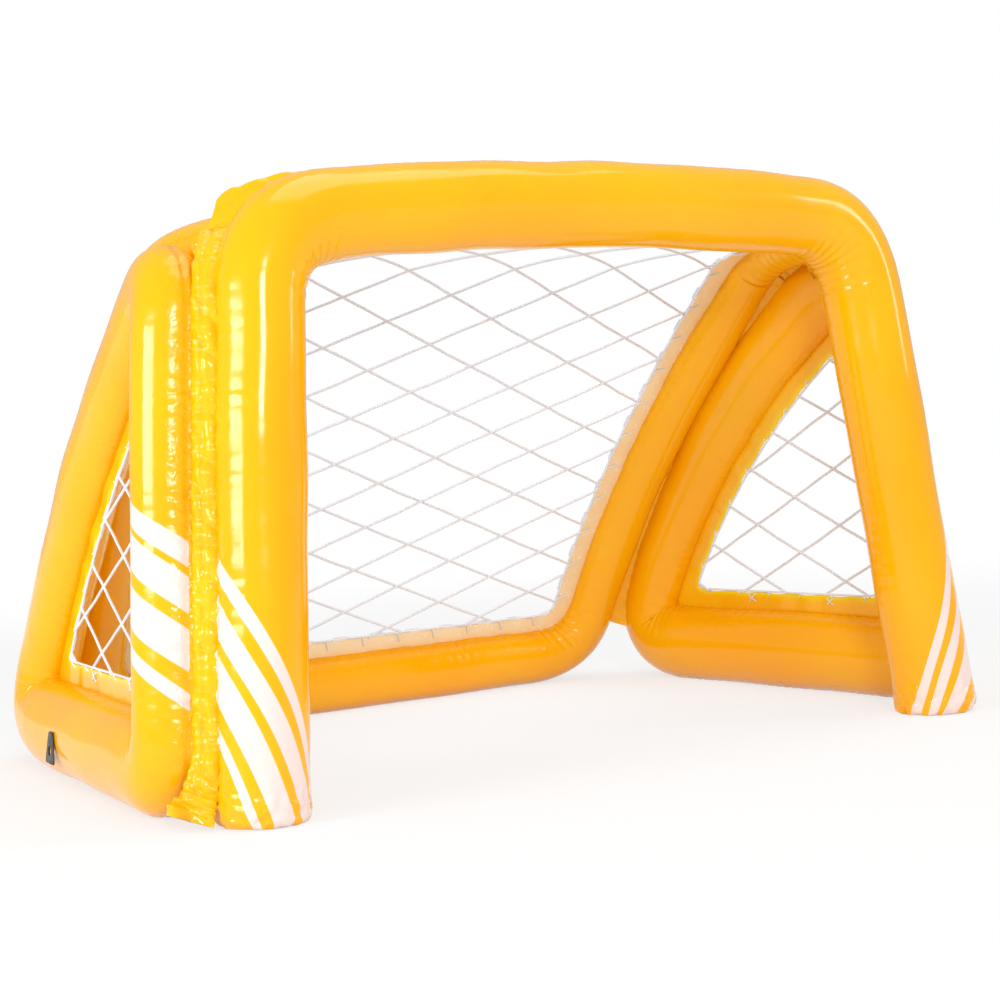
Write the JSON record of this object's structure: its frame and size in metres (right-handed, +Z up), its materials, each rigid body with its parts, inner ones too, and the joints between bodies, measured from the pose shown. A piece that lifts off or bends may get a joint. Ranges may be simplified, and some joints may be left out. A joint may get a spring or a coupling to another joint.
{
  "type": "inflatable water polo goal",
  "caption": "Inflatable water polo goal: an arched front frame, a sloping back and triangular sides of air-filled tubes, with laced diamond nets, inflation valves and tether tabs.",
  "frame": {"origin": "middle of the footprint, on the ground", "axes": "+X across the goal's mouth to the right as seen from the front, -Y out of the mouth to the front, +Z up"},
  "size_m": [1.3612, 0.8982, 0.8108],
  "materials": {
    "vinyl": "glossy yellow-orange PVC film over air",
    "welded_vinyl": "glossy yellow-orange welded PVC film, puckered",
    "net_cord": "matt white cord",
    "clear_vinyl": "milky translucent soft PVC",
    "black_plastic": "satin black"
  },
  "bodies": {
    "goal": {"front_frame": "vinyl", "left_side_ring": "vinyl", "right_side_ring": "vinyl", "rear_frame": "vinyl", "left_front_seam": "welded_vinyl", "right_front_seam": "welded_vinyl", "left_rear_seam": "welded_vinyl", "right_rear_seam": "welded_vinyl", "top_seam": "welded_vinyl", "rear_net": "net_cord", "rear_lacing": "net_cord", "crossbar_flange": "welded_vinyl", "rear_flange": "welded_vinyl", "left_net": "net_cord", "left_lacing": "net_cord", "left_flange": "welded_vinyl", "right_net": "net_cord", "right_lacing": "net_cord", "right_flange": "welded_vinyl", "left_tether_tab": "black_plastic", "right_tether_tab": "black_plastic", "front_valve_base": "welded_vinyl", "rear_valve_base": "welded_vinyl", "left_valve_base": "welded_vinyl", "right_valve_base": "welded_vinyl"},
    "front_stem": {"front_valve_stem": "clear_vinyl"},
    "front_plug": {"front_valve_plug": "clear_vinyl"},
    "rear_stem": {"rear_valve_stem": "clear_vinyl"},
    "rear_plug": {"rear_valve_plug": "clear_vinyl"},
    "left_stem": {"left_valve_stem": "clear_vinyl"},
    "left_plug": {"left_valve_plug": "clear_vinyl"},
    "right_stem": {"right_valve_stem": "clear_vinyl"},
    "right_plug": {"right_valve_plug": "clear_vinyl"}
  },
  "joints": [
    {"name": "front_valve_stem_pull", "type": "slide", "parent": "goal", "child": "front_stem", "axis": [0, 0.6018, -0.7986], "range_m": [0, 0.01]},
    {"name": "front_valve_plug_pull", "type": "slide", "parent": "front_stem", "child": "front_plug", "axis": [0, 0.6018, -0.7986], "range_m": [0, 0.007]},
    {"name": "rear_valve_stem_pull", "type": "slide", "parent": "goal", "child": "rear_stem", "axis": [0, 0.6018, 0.7986], "range_m": [0, 0.01]},
    {"name": "rear_valve_plug_pull", "type": "slide", "parent": "rear_stem", "child": "rear_plug", "axis": [0, 0.6018, 0.7986], "range_m": [0, 0.007]},
    {"name": "left_valve_stem_pull", "type": "slide", "parent": "goal", "child": "left_stem", "axis": [-0.378, 0.6843, 0.6235], "range_m": [0, 0.01]},
    {"name": "left_valve_plug_pull", "type": "slide", "parent": "left_stem", "child": "left_plug", "axis": [-0.378, 0.6843, 0.6235], "range_m": [0, 0.007]},
    {"name": "right_valve_stem_pull", "type": "slide", "parent": "goal", "child": "right_stem", "axis": [0.378, 0.6843, 0.6235], "range_m": [0, 0.01]},
    {"name": "right_valve_plug_pull", "type": "slide", "parent": "right_stem", "child": "right_plug", "axis": [0.378, 0.6843, 0.6235], "range_m": [0, 0.007]}
  ]
}
